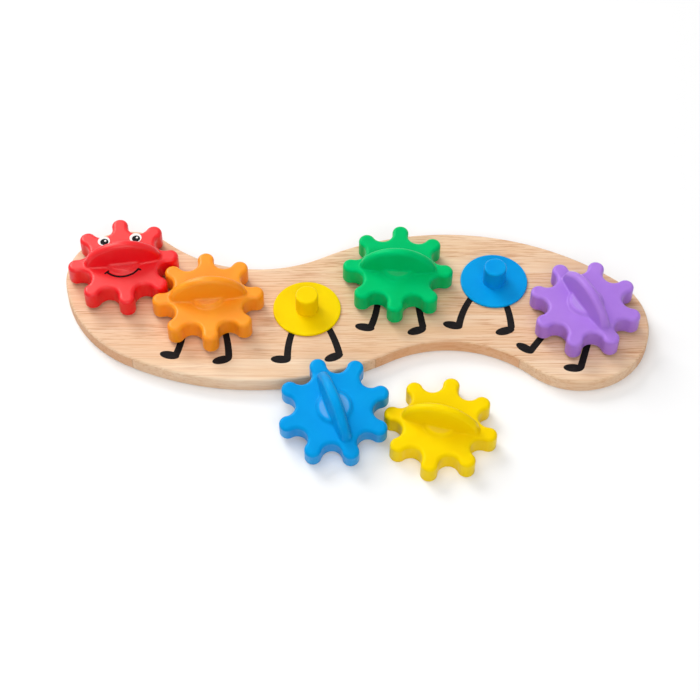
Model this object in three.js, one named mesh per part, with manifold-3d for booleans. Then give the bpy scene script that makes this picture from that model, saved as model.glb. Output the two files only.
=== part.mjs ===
// A toddler's wooden gear toy: a wavy board with six plastic pegs, and six toothed plastic gears that
// drop over the pegs and are turned by the lens-shaped grip ridge on top of each.
// Millimetres, +Z up. The origin is on the board's underside, at the middle of the row of pegs.
import * as THREE from 'three';
import { mergeVertices } from 'three/addons/utils/BufferGeometryUtils.js';
import Module from 'manifold-3d';

const wasm = await Module();
wasm.setup();
const degrees = THREE.MathUtils.degToRad;

// Clearances
const seatGap = 0.3; // between two faces that touch
const runningClearance = 0.4; // all round, between a peg and the socket that turns on it
const fitClearance = 0.3; // all round, between a spigot, screw or washer and its hole
const cutOverrun = 1; // how far a cutting shape passes the face that it opens

// Gear outline
const toothCount = 8;
const gearTipRadius = 39;
const gearRootRadius = 26.3;
const toothNoseRadius = 5.75;
const meshTipClearance = 3.7; // from a tooth's tip to the bottom of the valley that it turns through

// Gear moulding
const gearHeight = 14.6;
const gearEdgeRound = 2.2;
const gearWall = 2.4;
const ribThickness = 1.8;
const ribRise = 4; // from the open bottom up to the ribs
const socketWall = 2.2;
const socketRoof = 1.2;
const pegTopClearance = 0.5;
const bossRadius = 11.8;
const bossTopRound = 0.5;
const bossFootRound = 1;

// Grip ridge
const ridgeLength = 54;
const ridgeThickness = 11;
const ridgeNoseRadius = 4;
const ridgeRise = 18.5; // from the gear's top face to the crest
const crestOverhang = 2; // how far past each end the crest's arc would come down to the face
const ridgeFootRound = 1;
const ridgeEmbed = 1.4; // how far it runs down into the top face
const ridgeTaperShare = 0.42; // how much thinner the ridge is at its crest
const ridgeStationShares = [-0.99, -0.92, -0.72, -0.38, 0, 0.38, 0.72, 0.92, 0.99];
const ridgeLevelShares = [0.5, 0.82, 0.95];
const hollowStationShares = [-0.95, -0.55, 0, 0.55, 0.95];
const hollowLevelShares = [0.5, 0.82];
const footLevelShare = 0.3; // height on the foot's round where one more row of points lies
const crestPower = 8; // how square the crest's round is

// Pegs
const pegRadius = 8;
const pegStand = 17.5; // from the board's top to the peg's top
const pegTopRound = 1.1;
const flangeRadius = 23.9;
const flangeThickness = 1.8;
const flangeEdgeRound = 0.7;
const spigotRadius = 5;
const spigotRelief = 0.8; // how far the spigot ends above the shoulder that the washer bears on

// Screws and washers
const screwRadius = 1.9;
const screwLength = 14; // under the head
const screwPointLength = 3;
const screwHeadRadius = 4;
const screwHeadHeight = 2.6;
const screwHeadRound = 1.3;
const screwRecess = 0.8; // from the underside up to the head
const screwEndClearance = 1.5;
const washerRadius = 6.4;
const washerThickness = 1;

// Board
const boardThickness = 12;
const boardEdgeRound = 1.8;
const rightEndMargin = 11.5; // how much wider the board's right end is than a gear
const rightBulgeRadius = 193;
const rightHollowRadius = 87;
const rightEndFromPegX = -4.7;
const rightEndFromPegY = -5.5;
const rightBulgeAngle = degrees(51); // the direction where the end's arc runs over into the bulge

// The board's left end, as it would lie after half a turn about the middle of the row of pegs
const leftEndMargin = 3.7; // how much wider the board's left end is than a gear
const leftShoulderRadius = 86;
const leftBulgeRadius = 197;
const leftHollowRadius = 102;
const leftEndFromPegX = -0.7;
const leftEndFromPegY = 1.3;
const leftShoulderAngle = degrees(8);
const leftBulgeAngle = degrees(63);

// Row of pegs: the two outer links fall away, the middle one climbs
const endLinkAngle = degrees(-27.2);
const middleLinkAngle = degrees(21.4);

// How the gears stand: the direction of each grip ridge, and the two gears laid in front
const redSpin = degrees(8);
const greenSpin = degrees(-4.5);
const purpleSpin = degrees(-62.6);
const blueSpin = degrees(-70.5);
const yellowSpin = degrees(-14.9);
const leanOverlap = 5.8; // how far the blue gear's back teeth reach over the board's edge
const leanContactX = -29.7;
const yellowGearX = 58.7;
const yellowGearY = -110.6;

// Fineness of the round forms, in steps
const noseSteps = 6;
const valleySteps = 4;
const innerNoseSteps = 2;
const innerValleySteps = 3;
const roundSteps = 2;
const bossSteps = 16;
const socketSteps = 16;
const pegSteps = 20;
const holeSteps = 14;
const screwSteps = 8;
const washerSteps = 10;
const boardEndSteps = 12;
const boardShoulderSteps = 4;
const boardBulgeSteps = 10;
const boardHollowSteps = 10;

// Worked out from the sizes above
const toothPitch = (2 * Math.PI) / toothCount;
const gearSpacing = gearTipRadius + gearRootRadius + meshTipClearance;
const gearStand = seatGap + flangeThickness + seatGap;
const socketRadius = pegRadius + runningClearance;
const socketDepth = pegStand - gearStand + pegTopClearance;
const bossTop = socketDepth + socketRoof;
const counterboreRadius = washerRadius + fitClearance;
const counterboreDepth = screwRecess + screwHeadHeight + seatGap + washerThickness + seatGap;
const washerBottom = screwRecess + screwHeadHeight + seatGap;

// The six peg places, first to last along the row
const middle = new THREE.Vector2();
const link = (angle) => new THREE.Vector2(gearSpacing, 0).rotateAround(middle, angle);
const fourthPeg = link(middleLinkAngle).divideScalar(2);
const fifthPeg = fourthPeg.clone().add(link(0));
const sixthPeg = fifthPeg.clone().add(link(endLinkAngle));
const rightPegs = [fourthPeg, fifthPeg, sixthPeg];
const leftPegs = rightPegs.map((place) => place.clone().negate()).reverse();
const pegPlaces = [...leftPegs, ...rightPegs];

const plastic = (color) => new THREE.MeshStandardMaterial({ color, roughness: 0.38, metalness: 0 });
const plastics = {
  red: plastic(0xe0222f),
  orange: plastic(0xfb8320),
  yellow: plastic(0xf2cc18),
  green: plastic(0x04974b),
  blue: plastic(0x1593dc),
  purple: plastic(0x9a6ec4),
};
const wood = new THREE.MeshStandardMaterial({ color: 0xe6c9a2, roughness: 0.6, metalness: 0 });
const steel = new THREE.MeshStandardMaterial({ color: 0xb9bcc0, roughness: 0.35, metalness: 1 });

const polar = (radius, angle) => new THREE.Vector2(radius, 0).rotateAround(middle, angle);
const atHeight = (points, z) => points.map((p) => new THREE.Vector3(p.x, p.y, z));

// Closed solid through rings of equally many points, flat at both ends. A ring runs anticlockwise
// when seen against the direction that the rings follow, and flatten gives its own plane's axes.
function loft(rings, flatten = (p) => new THREE.Vector2(p.x, p.y)) {
  const count = rings[0].length;
  const lastRing = (rings.length - 1) * count;
  const index = [];
  for (let row = 0; row < lastRing; row += count) {
    for (let i = 0; i < count; i++) {
      const a = row + i;
      const b = row + ((i + 1) % count);
      index.push(a, b, b + count, a, b + count, a + count);
    }
  }
  for (const [a, b, c] of THREE.ShapeUtils.triangulateShape(rings[0].map(flatten), [])) {
    index.push(c, b, a);
  }
  for (const [a, b, c] of THREE.ShapeUtils.triangulateShape(rings.at(-1).map(flatten), [])) {
    index.push(lastRing + a, lastRing + b, lastRing + c);
  }
  const geometry = new THREE.BufferGeometry();
  const points = rings.flat().flatMap((p) => [p.x, p.y, p.z]);
  geometry.setAttribute('position', new THREE.Float32BufferAttribute(points, 3));
  geometry.setIndex(index);
  return geometry;
}

// A turned body about Z from a profile of [radius, z], which runs anticlockwise in that plane
function turned(profile, steps) {
  const points = profile.map(([radius, z]) => new THREE.Vector2(radius, z));
  return new THREE.LatheGeometry(points, steps).rotateX(Math.PI / 2);
}

function cylinder(radius, bottom, top, steps) {
  return turned([[0, bottom], [radius, bottom], [radius, top], [0, top]], steps);
}

// Points of a quarter round on a turned profile, from the side up to the top face
function quarterRound(radius, top, round) {
  const points = [];
  for (let i = 0; i <= roundSteps; i++) {
    const angle = (i / roundSteps) * (Math.PI / 2);
    points.push([radius - round + round * Math.cos(angle), top - round + round * Math.sin(angle)]);
  }
  return points;
}

function solidFrom(geometry) {
  const bare = geometry.clone();
  bare.deleteAttribute('normal');
  bare.deleteAttribute('uv');
  const merged = mergeVertices(bare);
  const vertProperties = merged.attributes.position.array;
  const triVerts = new Uint32Array(merged.index.array);
  return new wasm.Manifold(new wasm.Mesh({ numProp: 3, vertProperties, triVerts }));
}

function geometryFrom(solid) {
  const mesh = solid.getMesh();
  const geometry = new THREE.BufferGeometry();
  geometry.setAttribute('position', new THREE.BufferAttribute(mesh.vertProperties, 3));
  geometry.setIndex(new THREE.BufferAttribute(mesh.triVerts, 1));
  const flat = geometry.toNonIndexed();
  flat.computeVertexNormals();
  return flat;
}

// Gear outline: round tooth noses joined by round valleys, each arc tangent to the next.
// An inset moves the whole outline inwards by that much.
function gearOutline(inset, noseCount, valleyCount) {
  const noseCentre = gearTipRadius - toothNoseRadius;
  const rootToNose = gearRootRadius - toothNoseRadius;
  const half = toothPitch / 2;
  const valleyCentre =
    (noseCentre ** 2 - rootToNose ** 2) / (2 * (noseCentre * Math.cos(half) - rootToNose));
  const valleyRadius = valleyCentre - gearRootRadius;
  const joinAngle = polar(valleyCentre, half).sub(new THREE.Vector2(noseCentre, 0)).angle();
  const valleySpan = joinAngle - half;
  const points = [];
  for (let tooth = 0; tooth < toothCount; tooth++) {
    const angle = tooth * toothPitch;
    for (let i = 0; i <= noseCount; i++) {
      const turn = angle + joinAngle * ((2 * i) / noseCount - 1);
      points.push(polar(noseCentre, angle).add(polar(toothNoseRadius - inset, turn)));
    }
    for (let i = 1; i < valleyCount; i++) {
      const turn = angle + half + Math.PI + valleySpan * (1 - (2 * i) / valleyCount);
      points.push(polar(valleyCentre, angle + half).add(polar(valleyRadius + inset, turn)));
    }
  }
  return points;
}

// Half the ridge's width at its foot, at a place along it: two flat arcs that end in round noses.
// The inset form is as much smaller all round, for the hollow inside.
function ridgeHalfWidth(x, inset) {
  const noseCentre = ridgeLength / 2 - ridgeNoseRadius;
  const swell = ridgeThickness / 2 - ridgeNoseRadius;
  const arcRadius = (noseCentre ** 2 + swell ** 2) / (2 * swell);
  const nose = ridgeNoseRadius - inset;
  const along = Math.abs(x);
  if (along > noseCentre + (nose * noseCentre) / arcRadius) {
    return Math.sqrt(nose ** 2 - (along - noseCentre) ** 2);
  }
  return Math.sqrt((arcRadius + nose) ** 2 - along ** 2) - (arcRadius - swell);
}

// Height of the crest above the gear's top face, at a place along the ridge: a circular arc
function crestHeight(x, inset) {
  const halfSpan = ridgeLength / 2 + crestOverhang;
  const radius = (halfSpan ** 2 + ridgeRise ** 2) / (2 * ridgeRise);
  return Math.sqrt((radius - inset) ** 2 - x ** 2) - (radius - ridgeRise);
}

// The grip ridge, or the hollow inside it: thinner towards the crest, with a concave foot where it
// leaves the gear's top face. It runs down to the depth given below that face.
function ridge({ inset, footRound, depth, stationShares, levelShares }) {
  const lean = (ridgeTaperShare * ridgeThickness) / 2 / ridgeRise;
  const sections = stationShares.map((share) => {
    const x = share * (ridgeLength / 2 - inset);
    const height = crestHeight(x, inset);
    const foot = Math.min(footRound, height / 2);
    const bodyHalf = ridgeHalfWidth(x, inset);
    const halfAt = (z) => (bodyHalf - lean * z) * Math.sqrt(1 - (z / height) ** crestPower);
    const side = [];
    if (foot > 0) {
      for (const z of [0, foot * footLevelShare, foot]) {
        side.push([halfAt(z) + foot - Math.sqrt(foot ** 2 - (foot - z) ** 2), z]);
      }
    } else {
      side.push([bodyHalf, 0]);
    }
    for (const level of levelShares) {
      const z = foot + (height - foot) * level;
      side.push([halfAt(z), z]);
    }
    side.unshift([side[0][0], -depth]);
    const right = side.map(([y, z]) => new THREE.Vector3(x, y, gearHeight + z));
    const left = side.map(([y, z]) => new THREE.Vector3(x, -y, gearHeight + z)).reverse();
    return [...right, new THREE.Vector3(x, 0, gearHeight + height), ...left];
  });
  return loft(sections, (p) => new THREE.Vector2(p.y, p.z));
}

// Profile of the low boss over the socket: a flat top, and a hollow foot that runs out on the face
function bossProfile() {
  const footRadius = bossRadius + bossFootRound;
  const bottom = gearHeight - ridgeEmbed;
  const foot = [];
  for (let i = 0; i <= roundSteps; i++) {
    const angle = (i / roundSteps) * (Math.PI / 2);
    foot.push([
      footRadius - bossFootRound * Math.sin(angle),
      gearHeight + bossFootRound * (1 - Math.cos(angle)),
    ]);
  }
  return [
    [0, bottom],
    [footRadius, bottom],
    ...foot,
    [bossRadius, bossTop - bossTopRound],
    [bossRadius - bossTopRound, bossTop],
    [0, bossTop],
  ];
}

// A hollow moulding, open below. Its tooth with no turn points along +X, as does the grip ridge.
function makeGear() {
  const faceRings = [atHeight(gearOutline(0, noseSteps, valleySteps), 0)];
  for (const [shrunk, z] of quarterRound(0, gearHeight, gearEdgeRound)) {
    faceRings.push(atHeight(gearOutline(-shrunk, noseSteps, valleySteps), z));
  }
  const outerRidge = ridge({
    inset: 0,
    footRound: ridgeFootRound,
    depth: ridgeEmbed,
    stationShares: ridgeStationShares,
    levelShares: ridgeLevelShares,
  });
  const outside = solidFrom(loft(faceRings))
    .add(solidFrom(turned(bossProfile(), bossSteps)))
    .add(solidFrom(outerRidge));

  const ceiling = gearHeight - gearWall;
  const innerOutline = gearOutline(gearWall, innerNoseSteps, innerValleySteps);
  let cavity = solidFrom(loft([atHeight(innerOutline, -cutOverrun), atHeight(innerOutline, ceiling)]));
  const tube = cylinder(socketRadius + socketWall, -2 * cutOverrun, gearHeight, socketSteps);
  cavity = cavity.subtract(solidFrom(tube));
  const ribLength = gearRootRadius - socketRadius;
  for (let i = 0; i < toothCount; i++) {
    const rib = new THREE.BoxGeometry(ribLength, ribThickness, gearHeight);
    rib.translate(socketRadius + ribLength / 2, 0, ribRise + gearHeight / 2);
    rib.rotateZ((i + 1 / 2) * toothPitch);
    cavity = cavity.subtract(solidFrom(rib));
  }
  const hollowRidge = ridge({
    inset: gearWall,
    footRound: 0,
    depth: gearWall + cutOverrun,
    stationShares: hollowStationShares,
    levelShares: hollowLevelShares,
  });
  const socket = cylinder(socketRadius, -cutOverrun, socketDepth, socketSteps);
  return geometryFrom(
    outside.subtract(cavity).subtract(solidFrom(hollowRidge)).subtract(solidFrom(socket)),
  );
}

// Peg, round seat flange and spigot in one moulding, with a blind pilot hole for the screw.
// Its origin is on the board's top face.
function makePeg() {
  const flangeBottom = seatGap;
  const flangeTop = flangeBottom + flangeThickness;
  const spigotBottom = counterboreDepth + spigotRelief - boardThickness;
  const pilotRadius = screwRadius + fitClearance;
  const pilotTop = washerBottom - seatGap + screwLength + screwEndClearance - boardThickness;
  return turned(
    [
      [0, pilotTop],
      [pilotRadius, pilotTop],
      [pilotRadius, spigotBottom],
      [spigotRadius, spigotBottom],
      [spigotRadius, flangeBottom],
      [flangeRadius, flangeBottom],
      [flangeRadius, flangeTop - flangeEdgeRound],
      [flangeRadius - flangeEdgeRound, flangeTop],
      [pegRadius, flangeTop],
      ...quarterRound(pegRadius, pegStand, pegTopRound),
      [0, pegStand],
    ],
    pegSteps,
  );
}

// Pan head screw, head down. Its origin is on the board's underside.
function makeScrew() {
  const headTop = screwRecess + screwHeadHeight;
  const end = headTop + screwLength;
  return turned(
    [
      [0, screwRecess],
      [screwHeadRadius - screwHeadRound, screwRecess],
      [screwHeadRadius, screwRecess + screwHeadRound],
      [screwHeadRadius, headTop],
      [screwRadius, headTop],
      [screwRadius, end - screwPointLength],
      [0, end],
    ],
    screwSteps,
  );
}

function makeWasher() {
  const holeRadius = screwRadius + fitClearance;
  const top = washerBottom + washerThickness;
  return turned(
    [
      [holeRadius, washerBottom],
      [washerRadius, washerBottom],
      [washerRadius, top],
      [holeRadius, top],
      [holeRadius, washerBottom],
    ],
    washerSteps,
  );
}

// Where two circles cross, on the right of the way from the first centre to the second
function crossing(first, firstRadius, second, secondRadius) {
  const apart = second.clone().sub(first);
  const distance = apart.length();
  const along = (distance ** 2 + firstRadius ** 2 - secondRadius ** 2) / (2 * distance);
  const aside = Math.sqrt(firstRadius ** 2 - along ** 2);
  return first.clone().add(new THREE.Vector2(along, -aside).rotateAround(middle, apart.angle()));
}

// The board's outline is a wave of tangent arcs. Each end is written as if it lay on the right: its
// round end, then wider and wider arcs up to the bulge on the far edge, and the hollow that leads from
// the other end's bulge to it. The left end is turned by half a turn about the middle of the row.
const halfTurn = (point) => point.clone().negate();

function boardEnd(fromPegX, fromPegY, hollowRadius, arcSizes) {
  const arcs = [];
  let centre = sixthPeg.clone().add(new THREE.Vector2(fromPegX, fromPegY));
  for (const [radius, from, steps] of arcSizes) {
    if (arcs.length > 0) {
      centre = centre.clone().sub(polar(radius - arcs.at(-1).radius, from));
    }
    arcs.push({ centre, radius, from, steps });
  }
  return { arcs, hollowRadius };
}

const boardEnds = [
  boardEnd(rightEndFromPegX, rightEndFromPegY, rightHollowRadius, [
    [gearTipRadius + rightEndMargin, null, boardEndSteps],
    [rightBulgeRadius, rightBulgeAngle, boardBulgeSteps],
  ]),
  boardEnd(leftEndFromPegX, leftEndFromPegY, leftHollowRadius, [
    [gearTipRadius + leftEndMargin, null, boardEndSteps],
    [leftShoulderRadius, leftShoulderAngle, boardShoulderSteps],
    [leftBulgeRadius, leftBulgeAngle, boardBulgeSteps],
  ]),
];
const hollowCentres = boardEnds.map(({ arcs, hollowRadius }, i) => {
  const otherBulge = boardEnds[1 - i].arcs.at(-1);
  return crossing(
    halfTurn(otherBulge.centre),
    otherBulge.radius + hollowRadius,
    arcs[0].centre,
    arcs[0].radius + hollowRadius,
  );
});

function arcPoints(centre, radius, from, to, steps) {
  const points = [];
  for (let i = 0; i < steps; i++) {
    points.push(centre.clone().add(polar(radius, from + ((to - from) * i) / steps)));
  }
  return points;
}

function boardOutline(inset) {
  const direction = (from, to) => to.clone().sub(from).angle();
  const halves = boardEnds.map(({ arcs, hollowRadius }, i) => {
    const hollow = hollowCentres[i];
    const hollowFrom = direction(hollow, halfTurn(boardEnds[1 - i].arcs.at(-1).centre));
    const hollowTo = direction(hollow, arcs[0].centre);
    const bulgeTo = direction(arcs.at(-1).centre, halfTurn(hollowCentres[1 - i]));
    const points = arcPoints(hollow, hollowRadius + inset, hollowFrom, hollowTo, boardHollowSteps);
    arcs.forEach(({ centre, radius, from, steps }, k) => {
      const start = k === 0 ? hollowTo - Math.PI : from;
      const end = k === arcs.length - 1 ? bulgeTo : arcs[k + 1].from;
      points.push(...arcPoints(centre, radius - inset, start, end, steps));
    });
    return points;
  });
  return [...halves[0], ...halves[1].map(halfTurn)];
}

function makeBoard() {
  const rings = [];
  const edge = quarterRound(0, boardThickness, boardEdgeRound);
  for (const [shrunk, z] of [...edge].reverse()) {
    rings.push(atHeight(boardOutline(-shrunk), boardThickness - z));
  }
  for (const [shrunk, z] of edge) {
    rings.push(atHeight(boardOutline(-shrunk), z));
  }
  let board = solidFrom(loft(rings));
  const spigotHole = spigotRadius + fitClearance;
  const steppedHole = solidFrom(
    turned(
      [
        [0, -cutOverrun],
        [counterboreRadius, -cutOverrun],
        [counterboreRadius, counterboreDepth],
        [spigotHole, counterboreDepth],
        [spigotHole, boardThickness + cutOverrun],
        [0, boardThickness + cutOverrun],
      ],
      holeSteps,
    ),
  );
  for (const place of pegPlaces) {
    board = board.subtract(steppedHole.translate(place.x, place.y, 0));
  }
  return geometryFrom(board);
}

const toy = new THREE.Group();

function addPiece(name, geometry, material, parent = toy) {
  const mesh = new THREE.Mesh(geometry, material);
  mesh.name = name;
  parent.add(mesh);
  return mesh;
}

addPiece('board', makeBoard(), wood);

const pegGeometry = makePeg();
const screwGeometry = makeScrew();
const washerGeometry = makeWasher();
Object.entries(plastics).forEach(([colour, material], i) => {
  const { x, y } = pegPlaces[i];
  addPiece(`${colour}_peg`, pegGeometry, material).position.set(x, y, boardThickness);
  addPiece(`${colour}_screw`, screwGeometry, steel).position.set(x, y, 0);
  addPiece(`${colour}_washer`, washerGeometry, steel).position.set(x, y, 0);
});

const gearGeometry = makeGear();

function addGear(colour, spin, parent) {
  const gear = addPiece(`${colour}_gear`, gearGeometry, plastics[colour], parent);
  gear.rotation.z = spin;
  return gear;
}

// The orange gear stands in mesh with the red one: where they meet, a tooth faces a valley
const orangeSpin = 2 * endLinkAngle - toothPitch / 2 - redSpin + 2 * toothPitch;
const seatedGears = [
  ['red', redSpin, pegPlaces[0]],
  ['orange', orangeSpin, pegPlaces[1]],
  ['green', greenSpin, pegPlaces[3]],
  ['purple', purpleSpin, pegPlaces[5]],
];
for (const [colour, spin, place] of seatedGears) {
  addGear(colour, spin, toy).position.set(place.x, place.y, boardThickness + gearStand);
}

addGear('yellow', yellowSpin, toy).position.set(yellowGearX, yellowGearY, 0);

// The blue gear leans against the board: its two front teeth stand on the table, and a back tooth
// lies on the board's top face, just inside its rounded edge
const leanHeading = blueSpin + (7 / 2) * toothPitch;
const uphill = polar(1, leanHeading);
const leanAxis = polar(1, leanHeading - Math.PI / 2);
const noseReach = gearTipRadius - toothNoseRadius;
const footReach = noseReach * Math.cos(toothPitch / 2) + toothNoseRadius;
const flankReach = noseReach * Math.sin(toothPitch / 2) + toothNoseRadius;
const leanRise = boardThickness + seatGap;
const leanAngle = Math.asin(leanRise / (2 * footReach - leanOverlap));
const frontBulge = boardEnds[1].arcs.at(-1);
const rest = halfTurn(frontBulge.centre);
const restRadius = frontBulge.radius - boardEdgeRound;
const contact = new THREE.Vector2(
  leanContactX,
  rest.y - Math.sqrt(restRadius ** 2 - (leanContactX - rest.x) ** 2),
);
const centreHeight = footReach * Math.sin(leanAngle);
const contactAhead = (leanRise - centreHeight) / Math.tan(leanAngle);
const leaningCentre = contact
  .clone()
  .addScaledVector(uphill, -contactAhead)
  .addScaledVector(leanAxis, flankReach);
const leaning = new THREE.Group();
leaning.position.set(leaningCentre.x, leaningCentre.y, centreHeight);
leaning.quaternion.setFromAxisAngle(new THREE.Vector3(leanAxis.x, leanAxis.y, 0), leanAngle);
toy.add(leaning);
addGear('blue', blueSpin, leaning);

export default toy;
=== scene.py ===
# Wooden gear toy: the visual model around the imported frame. Lengths are in millimetres and MM turns them
# into metres, Blender's unit. Where a length is in metres, a comment says so.
import math

import bmesh
import bpy
import numpy as np
from mathutils import Matrix, Vector


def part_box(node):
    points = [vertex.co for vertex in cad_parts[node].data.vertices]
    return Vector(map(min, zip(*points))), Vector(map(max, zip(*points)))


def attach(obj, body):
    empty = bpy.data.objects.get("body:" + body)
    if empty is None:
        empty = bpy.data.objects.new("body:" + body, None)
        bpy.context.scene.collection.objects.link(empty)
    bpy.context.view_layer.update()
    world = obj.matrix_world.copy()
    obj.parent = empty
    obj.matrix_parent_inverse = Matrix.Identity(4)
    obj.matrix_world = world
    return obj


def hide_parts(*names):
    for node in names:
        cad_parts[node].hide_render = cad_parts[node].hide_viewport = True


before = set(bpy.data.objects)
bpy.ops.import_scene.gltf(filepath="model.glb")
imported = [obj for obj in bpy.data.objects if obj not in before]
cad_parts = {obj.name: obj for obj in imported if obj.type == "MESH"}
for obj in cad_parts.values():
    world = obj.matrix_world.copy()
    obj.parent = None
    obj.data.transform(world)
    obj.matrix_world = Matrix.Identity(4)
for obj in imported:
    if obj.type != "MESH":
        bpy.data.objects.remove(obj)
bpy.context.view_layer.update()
MM = 0.001

# Sizes, as in the CAD.
COLOURS = ["red", "orange", "yellow", "green", "blue", "purple"]
TOOTH_COUNT = 8
TOOTH_PITCH = 2 * math.pi / TOOTH_COUNT
TIP_RADIUS = 39
ROOT_RADIUS = 26.3
NOSE_RADIUS = 5.75
GEAR_HEIGHT = 14.6
GEAR_EDGE_ROUND = 2.6
GEAR_WALL = 2.4
RIB_THICKNESS = 1.8
RIB_RISE = 4
SOCKET_RADIUS = 8.4
SOCKET_WALL = 2.2
SOCKET_DEPTH = 15.6
BOSS_TOP = 16.8
BOSS_RADIUS = 11.8
BOSS_TOP_ROUND = 1.8
BOSS_FOOT_BLEND = 2.2
RIDGE_LENGTH = 54
RIDGE_THICKNESS = 11
RIDGE_RISE = 18.5
RIDGE_NOSE = 4
CREST_OVERHANG = 2
RIDGE_TAPER_SHARE = 0.42
RIDGE_CREST_ROUND = 2.6
RIDGE_FOOT_BLEND = 1.6
RIDGE_HOLLOW_ROUND = 0.8
SOCKET_TOP_ROUND = 0.4
CEILING_ROUND = 1.5
SMALL_ROUND = 0.7
# how deep the ridge and the boss reach into the top plate, and the ridge's hollow into the gear's
TOP_OVERLAP = 3
HOLLOW_OVERLAP = 1.5

PEG_RADIUS = 8
PEG_STAND = 17.5
FLANGE_RADIUS = 23.9
FLANGE_BOTTOM = 0.3
FLANGE_TOP = 2.1
SPIGOT_RADIUS = 5
SPIGOT_BOTTOM = -6.2
PILOT_RADIUS = 2.2
PILOT_TOP = 6.9

BOARD_THICKNESS = 12
BOARD_EDGE_ROUND = 1.8
# Of each end of the board, the left one turned by half a turn: its middle, from its peg, the radius of
# the hollow beside it, and the radius of each of its arcs with the angle in degrees where it starts.
BOARD_ENDS = (
    ((-4.7, -5.5), 87, ((TIP_RADIUS + 11.5, None), (193, 51))),
    ((-0.7, 1.3), 102, ((TIP_RADIUS + 3.7, None), (86, 8), (197, 63))),
)
HOLE_RADIUS = 5.3
COUNTERBORE_RADIUS = 6.7
COUNTERBORE_DEPTH = 5

# How far each gear is turned, in degrees. Orange's teeth stand in red's gaps.
SPIN = {"red": 8, "green": -4.5, "purple": -62.6, "blue": -70.5, "yellow": -14.9}
END_LINK_ANGLE = -27.2
HALF_TOOTH, TWO_TEETH = 180 / TOOTH_COUNT, 720 / TOOTH_COUNT
SPIN["orange"] = 2 * END_LINK_ANGLE - HALF_TOOTH - SPIN["red"] + TWO_TEETH
# how far the leaning blue gear's tooth reaches over the board's edge, and where it lies on it
LEAN_OVERLAP = 5.8
LEAN_CONTACT_X = -29.7
YELLOW_GEAR_AT = (58.7, -110.6)
SEAT_GAP = 0.3


def peg_place(colour):
    """Where a peg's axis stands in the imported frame."""
    low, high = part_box(f"{colour}_peg")
    return (low.x + high.x) / 2 / MM, (low.y + high.y) / 2 / MM


PEG_AT = {colour: peg_place(colour) for colour in COLOURS}


# Small helpers.
def linear(red, green, blue):
    """A colour in sRGB levels of 0 to 255, as the linear numbers that a shader takes."""
    shares = [c / 255 for c in (red, green, blue)]
    return (*[c / 12.92 if c <= 0.04045 else ((c + 0.055) / 1.055) ** 2.4 for c in shares], 1.0)


def new_piece(name, points, faces, sharp_degrees=None):
    """A piece with smooth faces. Edges that turn by more than sharp_degrees, if given, stay sharp."""
    mesh = bpy.data.meshes.new(name)
    mesh.from_pydata([tuple(float(c) * MM for c in p) for p in points], [], faces)
    mesh.validate()
    mesh.shade_smooth()
    if sharp_degrees is not None:
        mesh.set_sharp_from_angle(angle=math.radians(sharp_degrees))
    piece = bpy.data.objects.new(name, mesh)
    bpy.context.scene.collection.objects.link(piece)
    return piece


def polar(radius, angle):
    return np.array([radius * math.cos(angle), radius * math.sin(angle)])


def arc(centre, radius, start, end, steps):
    angles = np.linspace(start, end, steps + 1)
    return [(centre[0] + radius * math.cos(a), centre[1] + radius * math.sin(a)) for a in angles]


def rounded_profile(corners, steps=5, support=0.25):
    """A polyline whose corners (x, y, radius) are arcs, with a point just past each arc's ends, so that
    flat faces stay flat when they are shaded smooth."""
    points = []
    for i, (x, y, radius) in enumerate(corners):
        here = np.array([x, y], float)
        if radius == 0 or i in (0, len(corners) - 1):
            points.append(tuple(here))
            continue
        before = np.array(corners[i - 1][:2], float) - here
        after = np.array(corners[i + 1][:2], float) - here
        before /= np.linalg.norm(before)
        after /= np.linalg.norm(after)
        half = math.acos(np.clip(before @ after, -1, 1)) / 2
        setback = radius / math.tan(half)
        middle = (before + after) / np.linalg.norm(before + after)
        centre = here + middle * radius / math.sin(half)
        first, last = here + before * setback, here + after * setback
        points.append(tuple(first + before * support))
        turn = math.pi - 2 * half
        a, b = first - centre, last - centre
        for t in np.linspace(0, 1, steps + 1):
            way = (math.sin((1 - t) * turn) * a + math.sin(t * turn) * b) / math.sin(turn)
            points.append(tuple(centre + way))
        points.append(tuple(last + after * support))
    return points


def revolve(profile, steps):
    """Points and faces of a profile of (radius, z) turned about Z. Radius 0 makes one point."""
    points, faces, rows = [], [], []
    for radius, z in profile:
        if radius < 1e-6:
            rows.append([len(points)] * steps)
            points.append((0.0, 0.0, z))
            continue
        rows.append(list(range(len(points), len(points) + steps)))
        for i in range(steps):
            a = 2 * math.pi * i / steps
            points.append((radius * math.cos(a), radius * math.sin(a), z))
    for low, high in zip(rows, rows[1:]):
        for i in range(steps):
            j = (i + 1) % steps
            loop = [low[i], low[j], high[j], high[i]]
            face = [v for k, v in enumerate(loop) if v != loop[k - 1]]
            if len(face) > 2:
                faces.append(face)
    return points, faces


def tube_faces(rows, around, start=0):
    """Quads between rows of points on a tube, with around points in each row."""
    faces = []
    for row in range(rows - 1):
        for i in range(around):
            a = start + row * around + i
            b = start + row * around + (i + 1) % around
            faces.append([a, b, b + around, a + around])
    return faces


def apply_modifiers(piece):
    graph = bpy.context.evaluated_depsgraph_get()
    mesh = bpy.data.meshes.new_from_object(piece.evaluated_get(graph))
    old = piece.data
    piece.modifiers.clear()
    piece.data = mesh
    bpy.data.meshes.remove(old)


def cut(piece, cutter):
    """Takes cutter away from piece, and removes it."""
    modifier = piece.modifiers.new("cut", "BOOLEAN")
    modifier.operation = "DIFFERENCE"
    modifier.solver = "EXACT"
    modifier.object = cutter
    apply_modifiers(piece)
    bpy.data.objects.remove(cutter)


def at(x, y, z=0.0):
    return Matrix.Translation((x * MM, y * MM, z * MM))


def rotation_z(degrees):
    return Matrix.Rotation(math.radians(degrees), 4, "Z")


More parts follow.
